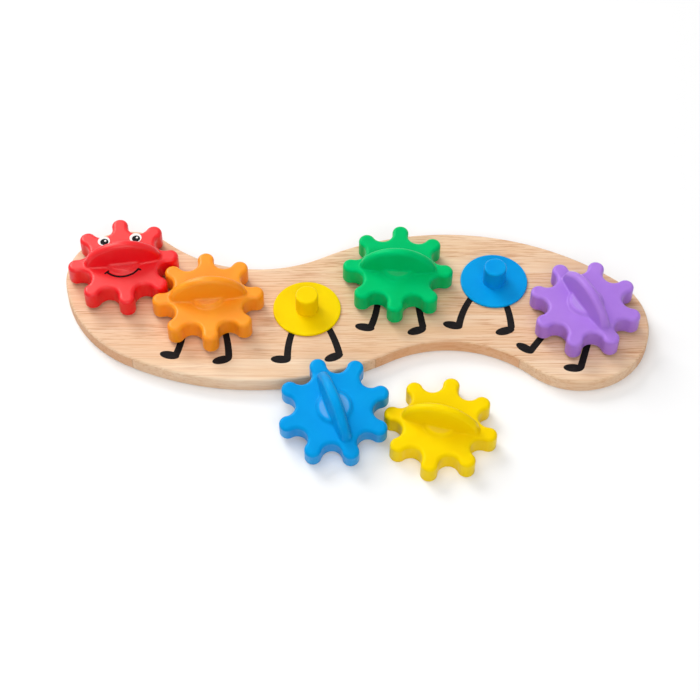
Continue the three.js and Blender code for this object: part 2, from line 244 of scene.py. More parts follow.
def dressed(piece, material, body, slot, place, *nodes):
    """Gives a piece its finish, moves its mesh to place, and lets it ride on its body and stand in for
    the CAD nodes."""
    piece.data.materials.clear()
    piece.data.materials.append(material)
    piece.data.transform(place)
    if nodes:
        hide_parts(*nodes)
    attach(piece, body)


# Materials. Shaders measure in metres.
OWN_PLACE = "place_in_gear"  # attribute with a point's place in the gear's own axes
NOISE_SPAN = (0.3, 0.7)  # nearly all of a noise's values lie in it


class Shader:
    """A procedural material in the making: every call adds a node and returns its output."""

    def __init__(self, name):
        self.material = bpy.data.materials.new(name)
        self.material.use_nodes = True
        self.tree = self.material.node_tree
        self.surface = self.tree.nodes["Principled BSDF"]
        own = self.tree.nodes.new("ShaderNodeTexCoord")
        self.place = own.outputs["Object"]
        self.upright = own.outputs["Normal"]

    def node(self, kind, values=(), **settings):
        made = self.tree.nodes.new(kind)
        for key, value in settings.items():
            setattr(made, key, value)
        for key, value in dict(values).items():
            self.put(made.inputs[key], value)
        return made

    def put(self, socket, value):
        if isinstance(value, bpy.types.NodeSocket):
            self.tree.links.new(value, socket)
        else:
            socket.default_value = value

    def stretched(self, vector, scale, offset=(0, 0, 0)):
        values = {"Vector": vector, "Scale": scale, "Location": offset}
        return self.node("ShaderNodeMapping", values).outputs["Vector"]

    def noise(self, vector, scale=1.0, detail=2.0, roughness=0.5, distortion=0.0):
        values = {"Vector": vector, "Scale": scale, "Detail": detail}
        values.update({"Roughness": roughness, "Distortion": distortion})
        return self.node("ShaderNodeTexNoise", values).outputs["Fac"]

    def spread(self, value, low, high, to_low=0.0, to_high=1.0):
        """to_low where value is low, to_high where it is high, evenly between, and no further."""
        values = {"Value": value, "From Min": low, "From Max": high}
        values.update({"To Min": to_low, "To Max": to_high})
        return self.node("ShaderNodeMapRange", values).outputs["Result"]

    def math(self, operation, a, b=0.0, c=0.0):
        made = self.node("ShaderNodeMath", operation=operation)
        for i, value in enumerate((a, b, c)):
            self.put(made.inputs[i], value)
        return made.outputs[0]

    def times(self, product, *others):
        for other in others:
            product = self.math("MULTIPLY", product, other)
        return product

    def parts(self, vector):
        return self.node("ShaderNodeSeparateXYZ", {"Vector": vector}).outputs

    def mix(self, share, a, b):
        made = self.node("ShaderNodeMix", data_type="RGBA")
        self.put(made.inputs[0], share)
        self.put(made.inputs[6], a)
        self.put(made.inputs[7], b)
        return made.outputs[2]

    def bump(self, height, strength, distance, normal=None):
        values = {"Height": height, "Strength": strength, "Distance": distance}
        if normal is not None:
            values["Normal"] = normal
        return self.node("ShaderNodeBump", values).outputs["Normal"]

    def finish(self, **values):
        for key, value in values.items():
            self.put(self.surface.inputs[key.replace("_", " ")], value)
        return self.material


# The painted sheen on the flat top of a gear's boss, a paler patch broken by fine hatching: from where to
# where it sets in, going inwards from the boss's rim and from beside the ridge, going up and down to the
# top, and on faces that look up.
BOSS_FLAT = BOSS_RADIUS - BOSS_TOP_ROUND
PATCH_RIM = (BOSS_FLAT + 0.4, BOSS_FLAT - 0.6)
PATCH_ENDS = (8.5, 5)
PATCH_BELOW = (BOSS_TOP - 0.4, BOSS_TOP - 0.2)
PATCH_ABOVE = (BOSS_TOP + 0.6, BOSS_TOP + 0.3)
PATCH_UPRIGHT = (0.9, 0.97)
# colour of the painted sheen on the boss's top
PATCH_SHEEN_COLOUR = linear(236, 238, 244)
HATCH_SLANT = 0.8
HATCH_WAVE = 6500  # radians a metre
HATCH_CONTRAST = 0.3
PLASTIC_ROUGHNESS = (0.31, 0.42)


def plastic(name, light, deep, sheen, shine, boss_sheen):
    """Satin moulded plastic: faint cloudiness in the colour, a fine spark-eroded grain, soft sheen.
    The flat top of a gear's boss carries a painted sheen: a paler patch in fine hatches, by the share of
    the last argument."""
    s = Shader(name)
    cloud = s.noise(s.place, 55, 3)
    grain = s.noise(s.place, 2600, 2)
    colour = s.mix(s.spread(cloud, *NOISE_SPAN), light, deep)
    x, y, z = s.parts(s.node("ShaderNodeAttribute", attribute_name=OWN_PLACE).outputs["Vector"])
    facing = s.parts(s.upright)[2]
    reach = s.math("SQRT", s.math("ADD", s.times(x, x), s.times(y, y)))
    # mask of the painted sheen: the boss's flat top, beside the ridge, where it faces up
    patch = s.times(
        s.spread(reach, PATCH_RIM[0] * MM, PATCH_RIM[1] * MM),
        s.spread(s.math("ABSOLUTE", x), PATCH_ENDS[0] * MM, PATCH_ENDS[1] * MM),
        s.spread(z, PATCH_BELOW[0] * MM, PATCH_BELOW[1] * MM),
        s.spread(z, PATCH_ABOVE[0] * MM, PATCH_ABOVE[1] * MM),
        s.spread(facing, *PATCH_UPRIGHT),
    )
    # painted sheen: the masked patch is paled towards near-white, in fine hatches
    hatch = s.math("SINE", s.times(s.math("ADD", x, s.times(y, HATCH_SLANT)), HATCH_WAVE))
    sheen_hatch = s.spread(hatch, -1, 1, (1 - HATCH_CONTRAST) * boss_sheen, (1 + HATCH_CONTRAST) * boss_sheen)
    colour = s.mix(s.times(patch, sheen_hatch), colour, PATCH_SHEEN_COLOUR)
    rough = s.spread(s.noise(s.place, 420, 4), *NOISE_SPAN, *PLASTIC_ROUGHNESS)
    wave = s.bump(s.noise(s.place, 90, 1), 0.12, 0.0006)
    normal = s.bump(grain, 0.18, 0.00012, wave)
    return s.finish(
        Base_Color=colour, Roughness=rough, Normal=normal, IOR=1.49, Specular_IOR_Level=shine,
        Specular_Tint=sheen,
        Subsurface_Weight=0.35, Subsurface_Radius=(0.005, 0.005, 0.005), Subsurface_Scale=1.0,
    )


# Of each colour: the plastic, the tone of its clouds, the tint and the strength of its sheen, and the
# strength of the painted sheen on the flat top of its boss.
PLASTICS = {
    "red": (linear(242, 10, 28), linear(232, 8, 24), linear(255, 235, 225), 0.55, 0.03),
    "orange": (linear(255, 156, 26), linear(255, 146, 16), linear(255, 236, 210), 0.42, 0.06),
    "yellow": (linear(251, 213, 0), linear(247, 205, 0), linear(255, 236, 100), 0.22, 0.03),
    "green": (linear(0, 194, 112), linear(0, 184, 102), linear(60, 255, 180), 0.18, 0.03),
    "blue": (linear(6, 156, 226), linear(2, 148, 220), linear(70, 210, 255), 0.28, 0.14),
    "purple": (linear(174, 126, 222), linear(166, 118, 216), linear(235, 220, 255), 0.36, 0.12),
}
plastics = {c: plastic(f"{c}_satin_plastic", *PLASTICS[c]) for c in COLOURS}


# Of each glue line across the board: Y, and how much more of the strip tone there is behind it.
GLUE_LINES = ((-55.5, 0.6), (-17, 0.1), (21, -0.45))
SEAM_CORE, SEAM_REACH = 0.1, 0.3
# the share of streaks, and of the wall's browner tone (partly edge grain, partly painted shade), that the
# front strip shows
FRONT_STREAKS, FRONT_WALL_SHADE = 0.45, 0.3


def lacquered_wood():
    """Rubberwood strips glued edge to edge, with the grain along X: each strip has its own tone, brown
    streaks, fine fibres and short dark pores, under a thin matt lacquer. The board's steep faces are
    browner, partly from edge grain and partly painted shade."""
    s = Shader("lacquered_wood")
    y = s.parts(s.place)[1]

    def behind(glue_y, before=0.0, after=1.0):
        return s.spread(y, (glue_y - SEAM_CORE) * MM, (glue_y + SEAM_CORE) * MM, before, after)

    shift, tint, seam = 0.0, 0.0, 0.0
    for i, (glue_y, more) in enumerate(GLUE_LINES):
        past = behind(glue_y)
        shift = s.math("MULTIPLY_ADD", past, 0.37 + 0.21 * i, shift)
        tint = s.math("MULTIPLY_ADD", past, more, tint)
        near = s.math("ABSOLUTE", s.math("SUBTRACT", y, glue_y * MM))
        seam = s.math("MAXIMUM", seam, s.spread(near, SEAM_REACH * MM, SEAM_CORE * MM))
    here = s.node("ShaderNodeCombineXYZ", {"X": shift, "Z": shift}).outputs["Vector"]
    here = s.node("ShaderNodeVectorMath", {0: s.place, 1: here}, operation="ADD").outputs["Vector"]

    def grain(scale, detail, roughness=0.5, distortion=0.0, offset=(0, 0, 0)):
        return s.noise(s.stretched(here, scale, offset), 1, detail, roughness, distortion)

    drift = grain((5, 30, 24), 3, 0.55, 0.6)
    band = grain((9, 150, 110), 4, 0.6, 0.5)
    streak = grain((48, 1100, 800), 3, 0.6, 0.15, (0.3, 0.1, 0.6))
    stripe = grain((7, 620, 460), 3, 0.6, 0.1, (0.1, 0.4, 0.2))
    streaky = grain((16, 40, 30), 2, 0.5, 0.0, (0.7, 0.9, 0.2))
    fibre = grain((50, 1700, 1700), 3, 0.6)
    front = behind(GLUE_LINES[0][0], FRONT_STREAKS, 1.0)
    # painted shade: steep faces, such as the board's wall, are browner, partly standing for edge grain
    wall_shade = s.spread(s.math("ABSOLUTE", s.parts(s.upright)[2]), 0.6, 0.2, 0, 0.4)
    tone = s.mix(s.spread(band, 0.36, 0.64), linear(242, 216, 186), linear(233, 198, 162))
    for share, colour in (
        (s.spread(drift, 0.38, 0.66, 0, 0.4), (230, 188, 148)),
        (s.spread(stripe, 0.52, 0.68, 0, 0.4), (206, 148, 102)),
        (s.times(s.spread(streak, 0.5, 0.66), s.times(s.spread(streaky, 0.4, 0.6, 0.2, 0.8), front)),
         (184, 122, 78)),
        (s.spread(fibre, 0.5, 0.76, 0, 0.3), (212, 154, 108)),
        (s.times(tint, 0.35), (210, 152, 108)),
        # painted shade on the steep faces, weaker on the front strip's wall
        (s.times(wall_shade, s.spread(front, FRONT_STREAKS, 1.0, FRONT_WALL_SHADE, 1.0)), (216, 146, 92)),
        (s.times(seam, 0.3), (166, 108, 70)),
    ):
        tone = s.mix(share, tone, linear(*colour))
    rough = s.spread(fibre, *NOISE_SPAN, 0.5, 0.62)
    normal = s.bump(fibre, 0.12, 0.0003)
    normal = s.bump(s.times(streak, -1), 0.2, 0.0002, normal)
    return s.finish(
        Base_Color=tone, Roughness=rough, Normal=normal, IOR=1.45, Specular_IOR_Level=0.25,
        Coat_Weight=0.05, Coat_Roughness=0.35, Coat_IOR=1.45,
    )


def zinc_steel():
    """Zinc plate: fine spangle and turning marks under a dull metal sheen."""
    s = Shader("zinc_plated_steel")
    spangle = s.noise(s.place, 1500, 3)
    stain = s.noise(s.place, 260, 2)
    colour = s.mix(s.spread(stain, 0.35, 0.7), linear(196, 197, 200), linear(168, 168, 170))
    rough = s.spread(spangle, *NOISE_SPAN, 0.26, 0.42)
    return s.finish(
        Base_Color=colour, Roughness=rough, Metallic=1.0, Normal=s.bump(spangle, 0.2, 0.00005)
    )


def printed_ink(name, colour, other, roughness):
    """Pad-printed ink: thin and a little uneven, with fine marks along X."""
    s = Shader(name)
    uneven = s.noise(s.stretched(s.place, (300, 900, 900)), 1, 3)
    tint = s.mix(s.spread(uneven, 0.35, 0.7), colour, other)
    rough = s.spread(uneven, *NOISE_SPAN, roughness, roughness + 0.12)
    normal = s.bump(uneven, 0.15, 0.0001)
    return s.finish(Base_Color=tint, Roughness=rough, Normal=normal, Specular_IOR_Level=0.06)


wood = lacquered_wood()
steel = zinc_steel()
dark_ink = printed_ink("dark_ink", linear(20, 18, 19), linear(34, 30, 30), 0.5)
white_ink = printed_ink("white_ink", linear(248, 247, 244), linear(240, 239, 236), 0.3)
black_ink = printed_ink("black_ink", linear(8, 8, 10), linear(18, 18, 20), 0.35)


# The gear, as a distance field that is turned into a mesh.
NOSE_CENTRE = TIP_RADIUS - NOSE_RADIUS
ROOT_TO_NOSE = ROOT_RADIUS - NOSE_RADIUS
HALF_PITCH = TOOTH_PITCH / 2
VALLEY_CENTRE = (NOSE_CENTRE**2 - ROOT_TO_NOSE**2) / (
    2 * (NOSE_CENTRE * math.cos(HALF_PITCH) - ROOT_TO_NOSE)
)
VALLEY_RADIUS = VALLEY_CENTRE - ROOT_RADIUS


def soft_union(a, b, width):
    """Where either is below 0, with a blend of that width between them."""
    h = np.clip(width - np.abs(a - b), 0, None)
    return np.minimum(a, b) - h * h / (4 * width)


def soft_both(a, b, width):
    """Where both are below 0, with the edge between them softened over that width."""
    return -soft_union(-a, -b, width)


def round_both(a, b, radius):
    """Where both are below 0, with a true round of that radius on the edge between them."""
    over = np.hypot(np.maximum(a + radius, 0), np.maximum(b + radius, 0))
    return over + np.minimum(np.maximum(a + radius, b + radius), 0) - radius


def folded_angle(x, y):
    """Angle from the middle line of the nearest tooth, 0 to half a pitch."""
    return np.abs((np.arctan2(y, x) + HALF_PITCH) % TOOTH_PITCH - HALF_PITCH)


def outline_distance(x, y):
    """How far outside the toothed outline a point is."""
    radius, angle = np.hypot(x, y), folded_angle(x, y)
    u, v = radius * np.cos(angle), radius * np.sin(angle)
    vx, vy = VALLEY_CENTRE * math.cos(HALF_PITCH), VALLEY_CENTRE * math.sin(HALF_PITCH)
    on_nose = (vx - NOSE_CENTRE) * v - vy * (u - NOSE_CENTRE) < 0
    nose = np.hypot(u - NOSE_CENTRE, v) - NOSE_RADIUS
    valley = VALLEY_RADIUS - np.hypot(u - vx, v - vy)
    return np.where(on_nose, nose, valley)


def ridge_plan_distance(x, y):
    """How far outside the ridge's plan at its foot a point is: two arcs and two round noses."""
    point = RIDGE_LENGTH / 2 - RIDGE_NOSE
    half = RIDGE_THICKNESS / 2 - RIDGE_NOSE
    radius = (point**2 + half**2) / (2 * half)
    away = radius - half
    u, v = np.abs(x), np.abs(y)
    at_nose = (u - point) * away > v * point
    return np.where(at_nose, np.hypot(u - point, v), np.hypot(u, v + away) - radius) - RIDGE_NOSE


def ridge_distances(x, y, z):
    """How far outside the ridge's sides, and how far above its crest, a point is."""
    lean = RIDGE_TAPER_SHARE * RIDGE_THICKNESS / 2 / RIDGE_RISE
    sides = ridge_plan_distance(x, y) + lean * (z - GEAR_HEIGHT)
    span = RIDGE_LENGTH / 2 + CREST_OVERHANG
    radius = (span**2 + RIDGE_RISE**2) / (2 * RIDGE_RISE)
    above = np.hypot(x, z - GEAR_HEIGHT + radius - RIDGE_RISE) - radius
    return sides, above


def gear_field(x, y, z):
    """Below 0 inside the gear's plastic. Millimetres; the ridge and one tooth point along X."""
    reach = np.hypot(x, y)
    edge = outline_distance(x, y)
    body = round_both(edge, z - GEAR_HEIGHT, GEAR_EDGE_ROUND)
    sides, above = ridge_distances(x, y, z)
    below_top = GEAR_HEIGHT - TOP_OVERLAP - z
    ridge = np.maximum(round_both(sides, above, RIDGE_CREST_ROUND), below_top)
    boss = round_both(reach - BOSS_RADIUS, z - BOSS_TOP, BOSS_TOP_ROUND)
    body = soft_union(body, np.maximum(boss, below_top), BOSS_FOOT_BLEND)
    outside = soft_union(body, ridge, RIDGE_FOOT_BLEND)
    ceiling = GEAR_HEIGHT - GEAR_WALL
    hollow = soft_both(edge + GEAR_WALL, z - ceiling, CEILING_ROUND)
    hollow = soft_both(hollow, SOCKET_RADIUS + SOCKET_WALL - reach, SMALL_ROUND)
    across = reach * np.sin(HALF_PITCH - folded_angle(x, y))
    rib = np.maximum(np.abs(across) - RIB_THICKNESS / 2, RIB_RISE - z)
    rib = np.maximum(rib, reach - ROOT_RADIUS)
    hollow = soft_both(hollow, -rib, SMALL_ROUND)
    inner = round_both(sides + GEAR_WALL, above + GEAR_WALL, RIDGE_HOLLOW_ROUND)
    inner = np.maximum(inner, ceiling - HOLLOW_OVERLAP - z)
    socket = round_both(reach - SOCKET_RADIUS, z - SOCKET_DEPTH, SOCKET_TOP_ROUND)
    empty = np.minimum(np.minimum(hollow, inner), socket)
    solid = soft_both(outside, -empty, SMALL_ROUND)
    return soft_both(solid, -z, SMALL_ROUND)


NET_PULLS = 6  # how often the points are pulled to the zero level
NET_PULL_LIMIT = 0.4  # of the smallest step of the grid, in one pull
LEAST_SLOPE_SQUARED = 0.05


def surface_net(field, xs, ys, zs):
    """Points and quads on the zero level of field: one point in each cell that the surface passes."""
    axes = [np.asarray(a, float) for a in (xs, ys, zs)]
    grid = np.stack(np.meshgrid(*axes, indexing="ij"), -1)
    value = field(grid[..., 0], grid[..., 1], grid[..., 2])
    inside = value < 0
    cells = tuple(n - 1 for n in value.shape)
    total, count = np.zeros((*cells, 3)), np.zeros(cells)
    crossings = []
    for axis in range(3):
        low = [slice(None)] * 3
        high = [slice(None)] * 3
        low[axis], high[axis] = slice(0, -1), slice(1, None)
        low, high = tuple(low), tuple(high)
        crossed = inside[low] != inside[high]
        step = np.where(crossed, value[low] - value[high], 1.0)
        share = np.where(crossed, value[low] / step, 0.0)
        spot = grid[low] + (grid[high] - grid[low]) * share[..., None]
        spot = np.where(crossed[..., None], spot, 0.0)
        first, second = [a for a in range(3) if a != axis]
        for i in (0, 1):
            for j in (0, 1):
                window = [slice(None)] * 3
                window[first] = slice(i, cells[first] + i)
                window[second] = slice(j, cells[second] + j)
                total += spot[tuple(window)]
                count += crossed[tuple(window)]
        crossings.append(crossed)
    used = count > 0
    number = np.full(cells, -1)
    number[used] = np.arange(used.sum())
    points = total[used] / count[used][:, None]
    quads = []
    for axis, crossed in enumerate(crossings):
        first, second = (axis + 1) % 3, (axis + 2) % 3
        where = np.argwhere(crossed)
        offsets = np.zeros((4, 3), int)
        offsets[0, [first, second]] = (-1, -1)
        offsets[1, [first, second]] = (0, -1)
        offsets[3, [first, second]] = (-1, 0)
        around = where[:, None, :] + offsets[None]
        quad = number[around[..., 0], around[..., 1], around[..., 2]]
        outward = inside[where[:, 0], where[:, 1], where[:, 2]]
        quads.append(np.where(outward[:, None], quad, quad[:, ::-1]))
    limit = NET_PULL_LIMIT * min(np.diff(a).min() for a in axes)
    for _ in range(NET_PULLS):
        level, slope = level_and_slope(field, points)
        squared = np.maximum((slope**2).sum(1), LEAST_SLOPE_SQUARED)
        move = -level[:, None] * slope / squared[:, None]
        length = np.linalg.norm(move, axis=1)
        points = points + move * np.minimum(1, limit / np.maximum(length, 1e-9))[:, None]
    return points, np.concatenate(quads)


def level_and_slope(field, points, step=0.02):
    """The field's value and gradient at each point."""
    level = field(*points.T)
    slope = np.empty_like(points)
    for axis in range(3):
        shift = np.zeros(3)
        shift[axis] = step
        slope[:, axis] = (field(*(points + shift).T) - field(*(points - shift).T)) / (2 * step)
    return level, slope


def steps_between(*marks):
    """Levels from mark to mark; each pair is (mark, spacing up to the next one)."""
    levels = []
    for (start, spacing), (end, _) in zip(marks, marks[1:]):
        levels += list(np.linspace(start, end, max(1, round((end - start) / spacing)), endpoint=False))
    return levels + [marks[-1][0]]


# The grid around the gear: its first and last line from the tooth tips, its lines' spacing, and its
# levels, each with the spacing up to the next.
GRID_START, GRID_END, GRID_SPACING = -1.03, 1.5, 0.9
GRID_LEVELS = (
    (-0.55, 0.45), (1.3, 1.35), (9.4, 0.7), (BOSS_TOP + 1, 0.8), (GEAR_HEIGHT + RIDGE_RISE + 1.2, 1),
)
LEVEL_NORMAL = 0.99999  # Z of a normal that counts as upright
LEVEL_TURN = math.radians(0.3)


def make_gear_mesh():
    """The gear's mesh, its flat faces merged, with the field's own slope as its normals."""
    side = np.arange(-TIP_RADIUS + GRID_START, TIP_RADIUS + GRID_END, GRID_SPACING)
    points, quads = surface_net(gear_field, side, side, steps_between(*GRID_LEVELS))
    mesh = bpy.data.meshes.new("gear_moulding")
    mesh.from_pydata((points * MM).tolist(), [], quads.tolist())
    mesh.validate()
    work = bmesh.new()
    work.from_mesh(mesh)
    bmesh.ops.recalc_face_normals(work, faces=work.faces)
    flat = {
        f for f in work.faces
        if abs(f.normal.z) > LEVEL_NORMAL and all(abs(v.normal.z) > LEVEL_NORMAL for v in f.verts)
    }
    # in the mesh's own order, because a set's order changes from run to run, and the merging with it
    verts = [v for v in work.verts if any(f in flat for f in v.link_faces)]
    edges = [e for e in work.edges if all(f in flat for f in e.link_faces)]
    bmesh.ops.dissolve_limit(
        work, angle_limit=LEVEL_TURN, use_dissolve_boundaries=False, verts=verts, edges=edges,
        delimit={"NORMAL"},
    )
    work.to_mesh(mesh)
    work.free()
    mesh.shade_smooth()
    spots = np.array([v.co for v in mesh.vertices]) / MM
    _, slope = level_and_slope(gear_field, spots)
    slope /= np.maximum(np.linalg.norm(slope, axis=1), 1e-9)[:, None]
    mesh.normals_split_custom_set_from_vertices(slope.tolist())
    own = mesh.attributes.new(OWN_PLACE, "FLOAT_VECTOR", "POINT")
    own.data.foreach_set("vector", (spots * MM).ravel())
    return mesh


gear_mesh = make_gear_mesh()


# The board.
def crossing(first, first_radius, second, second_radius):
    """Where two circles cross, on the right of the way from the first to the second."""
    apart = second - first
    distance = np.linalg.norm(apart)
    along = (distance**2 + first_radius**2 - second_radius**2) / (2 * distance)
    aside = math.sqrt(first_radius**2 - along**2)
    way = apart / distance
    return first + along * way + aside * np.array([way[1], -way[0]])


def end_arcs(from_peg, arc_sizes):
    """Centre, radius and start of the arcs of one end, as if it lay on the right."""
    centre, arcs = np.array(PEG_AT["purple"]) + np.array(from_peg), []
    for radius, start in arc_sizes:
        if arcs:
            centre = centre - polar(radius - arcs[-1][1], math.radians(start))
        arcs.append((centre, radius, start))
    return arcs


ENDS = [end_arcs(from_peg, sizes) for from_peg, _, sizes in BOARD_ENDS]
HOLLOWS = []
for i, (_, hollow_radius, _) in enumerate(BOARD_ENDS):
    bulge_centre, bulge_radius, _ = ENDS[1 - i][-1]
    end_centre, end_radius, _ = ENDS[i][0]
    HOLLOWS.append(
        crossing(-bulge_centre, bulge_radius + hollow_radius, end_centre, end_radius + hollow_radius)
    )


def heading(start, end):
    """Angle of the way from start to end, 0 to a whole turn."""
    way = end - start
    return math.atan2(way[1], way[0]) % (2 * math.pi)


HOLLOW_STEPS, BULGE_STEPS = 40, 44


def board_outline(inset):
    """The board's wavy outline, set in by so much, with the same number of points at every inset."""
    halves = []
    for i, (_, hollow_radius, _) in enumerate(BOARD_ENDS):
        hollow, arcs = HOLLOWS[i], ENDS[i]
        hollow_from = heading(hollow, -ENDS[1 - i][-1][0])
        hollow_to = heading(hollow, arcs[0][0])
        half = arc(hollow, hollow_radius + inset, hollow_from, hollow_to, HOLLOW_STEPS)[:-1]
        starts = [hollow_to - math.pi] + [math.radians(start) for _, _, start in arcs[1:]]
        starts.append(heading(arcs[-1][0], -HOLLOWS[1 - i]))
        for (centre, radius, _), start, end in zip(arcs, starts, starts[1:]):
            half += arc(centre, radius - inset, start, end, BULGE_STEPS)[:-1]
        halves.append(half)
    return halves[0] + [(-x, -y) for x, y in halves[1]]


BOARD_EDGE_STEPS = 7
# the first ring past the edge's round, on the flat faces and on the wall
FACE_SUPPORT, WALL_SUPPORT = 0.5, 0.4
BOARD_SHARP = 32
# how much wider the counterbore's mouth is, and how far the cutter stands out of the board
MOUTH_CHAMFER, CUTTER_SPARE = 0.4, 1
MOUTH_RADIUS = COUNTERBORE_RADIUS + MOUTH_CHAMFER
# corners of a hole's section: radius, height and round
HOLE_CORNERS = (
    (0, -CUTTER_SPARE, 0), (MOUTH_RADIUS, -CUTTER_SPARE, 0), (MOUTH_RADIUS, 0, 0),
    (COUNTERBORE_RADIUS, MOUTH_CHAMFER, 0), (COUNTERBORE_RADIUS, COUNTERBORE_DEPTH, 0.2),
    (HOLE_RADIUS, COUNTERBORE_DEPTH, 0.1), (HOLE_RADIUS, BOARD_THICKNESS + CUTTER_SPARE, 0),
    (0, BOARD_THICKNESS + CUTTER_SPARE, 0),
)


def make_board():
    quarter = [math.pi / 2 * i / BOARD_EDGE_STEPS for i in range(BOARD_EDGE_STEPS + 1)]
    lower = [(BOARD_EDGE_ROUND + FACE_SUPPORT, 0.0)]
    lower += [(BOARD_EDGE_ROUND * (1 - math.sin(a)), BOARD_EDGE_ROUND * (1 - math.cos(a))) for a in quarter]
    lower.append((0.0, BOARD_EDGE_ROUND + WALL_SUPPORT))
    layers = lower + [(inset, BOARD_THICKNESS - z) for inset, z in reversed(lower)]
    points = [(x, y, z) for inset, z in layers for x, y in board_outline(inset)]
    n = len(points) // len(layers)
    faces = tube_faces(len(layers), n)
    faces.append(list(range(n))[::-1])
    faces.append([(len(layers) - 1) * n + i for i in range(n)])
    board = new_piece("board_panel", points, faces)
    for colour in COLOURS:
        cutter = new_piece("hole", *revolve(rounded_profile(HOLE_CORNERS, 3, 0.1), 48))
        cutter.location = (PEG_AT[colour][0] * MM, PEG_AT[colour][1] * MM, 0)
        cut(board, cutter)
    board.data.shade_smooth()
    board.data.set_sharp_from_angle(angle=math.radians(BOARD_SHARP))
    dressed(board, wood, "board_and_pegs", "wood", at(0, 0), "board")


make_board()


# Pegs, screws and washers. Corners of a section are radius, height and round.
PEG_SHARP, METAL_SHARP = 50, 40
PEG_PROFILE = rounded_profile(
    [
        (0, PILOT_TOP, 0), (PILOT_RADIUS, PILOT_TOP, 0.3), (PILOT_RADIUS, SPIGOT_BOTTOM, 0.3),
        (SPIGOT_RADIUS, SPIGOT_BOTTOM, 0.6), (SPIGOT_RADIUS, FLANGE_BOTTOM, 0.2),
        (FLANGE_RADIUS, FLANGE_BOTTOM, 0.4), (FLANGE_RADIUS, FLANGE_TOP, 0.8),
        (PEG_RADIUS, FLANGE_TOP, 0.3), (PEG_RADIUS, PEG_STAND, 1.3), (0, PEG_STAND, 0),
    ], 4,
)
SCREW_BOTTOM = 0.8
HEAD_RADIUS = 4.0
HEAD_TOP = SCREW_BOTTOM + 2.6
HEAD_CORNERS = (
    (0, SCREW_BOTTOM, 0), (HEAD_RADIUS, SCREW_BOTTOM, 1.3), (HEAD_RADIUS, HEAD_TOP, 0.2),
    (1.5, HEAD_TOP, 0),
)
SHANK_TOP = HEAD_TOP + 14
SHANK_SUNK = 0.3
SHANK_ROWS, SHANK_AROUND = 84, 20
THREAD_PITCH = 1.3
THREAD_CORE = 1.42
THREAD_RISE = 0.46
THREAD_FOOT = 0.32  # of a pitch, from the crest's middle
THREAD_START, THREAD_RUN_IN = 0.4, 1.2
TIP_LENGTH, TIP_BLUNT = 3, 0.03


def make_screw(name):
    """Pan head, head down, and a pointed shank with a cut thread."""
    points, faces = revolve(rounded_profile(HEAD_CORNERS, 5, 0.1), 40)
    start = len(points)
    for row in range(SHANK_ROWS + 1):
        z = HEAD_TOP - SHANK_SUNK + (SHANK_TOP - HEAD_TOP + SHANK_SUNK) * row / SHANK_ROWS
        run_in = min(1.0, max(0.0, (z - HEAD_TOP - THREAD_START) / THREAD_RUN_IN))
        taper = min(1.0, max(TIP_BLUNT, (SHANK_TOP - z) / TIP_LENGTH))
        for i in range(SHANK_AROUND):
            phase = (z / THREAD_PITCH - i / SHANK_AROUND) % 1
            crest = max(0.0, 1 - abs(phase - 0.5) / THREAD_FOOT)
            radius = (THREAD_CORE + THREAD_RISE * crest * run_in) * taper
            a = 2 * math.pi * i / SHANK_AROUND
            points.append((radius * math.cos(a), radius * math.sin(a), z))
    faces += tube_faces(SHANK_ROWS + 1, SHANK_AROUND, start)
    faces.append([start + SHANK_ROWS * SHANK_AROUND + i for i in range(SHANK_AROUND)])
    faces.append([start + i for i in range(SHANK_AROUND)][::-1])
    return new_piece(name, points, faces, METAL_SHARP)


# of the cross recess at its mouth and at its bottom: height, and half length and half width of a bar
RECESS_ENDS = ((0.3, 2.35, 0.55), (2.4, 0.9, 0.3))


def make_recess():
    """Cutter for the cross recess: two tapered bars that meet."""
    points, faces = [], []
    for turn in (0, 1):
        start = len(points)
        for z, reach, half in RECESS_ENDS:
            for sx, sy in ((-1, -1), (1, -1), (1, 1), (-1, 1)):
                x, y = sx * reach, sy * half
                points.append((x, y, z) if turn == 0 else (-y, x, z))
        quads = [(0, 3, 2, 1), (4, 5, 6, 7), (0, 1, 5, 4), (1, 2, 6, 5), (2, 3, 7, 6), (3, 0, 4, 7)]
        faces += [[start + v for v in quad] for quad in quads]
    return points, faces


# radius and height of the points round a washer's section
WASHER_PROFILE = [
    (2.2, 3.7), (2.3, 3.7), (2.5, 3.7), (6.0, 3.7), (6.2, 3.7), (6.33, 3.78), (6.4, 3.9), (6.4, 4.5),
    (6.33, 4.63), (6.2, 4.7), (6.0, 4.7), (2.5, 4.7), (2.3, 4.68), (2.2, 4.6), (2.2, 3.7),
]

SCREW_TURN = 37  # degrees from each screw's cross to the next

for i, colour in enumerate(COLOURS):
    x, y = PEG_AT[colour]
    peg = new_piece(f"{colour}_peg_moulding", *revolve(PEG_PROFILE, 72), PEG_SHARP)
    dressed(
        peg, plastics[colour], "board_and_pegs", f"{colour}_plastic", at(x, y, BOARD_THICKNESS),
        f"{colour}_peg",
    )
    screw = make_screw(f"{colour}_pan_head_screw")
    cut(screw, new_piece("recess", *make_recess()))
    screw.data.set_sharp_from_angle(angle=math.radians(METAL_SHARP))
    turned = at(x, y) @ rotation_z(SCREW_TURN * i)
    dressed(screw, steel, "board_and_pegs", "fastener_steel", turned, f"{colour}_screw")
    ring = new_piece(f"{colour}_plain_washer", *revolve(WASHER_PROFILE, 48), METAL_SHARP)
    dressed(ring, steel, "board_and_pegs", "fastener_steel", at(x, y), f"{colour}_washer")


# The gears in their places.
def seated(colour):
    x, y = PEG_AT[colour]
    return at(x, y, BOARD_THICKNESS + FLANGE_TOP + SEAT_GAP) @ rotation_z(SPIN[colour])


LEAN_TOOTH = 3.5  # tooth pitches from the ridge's end to the gap that looks uphill


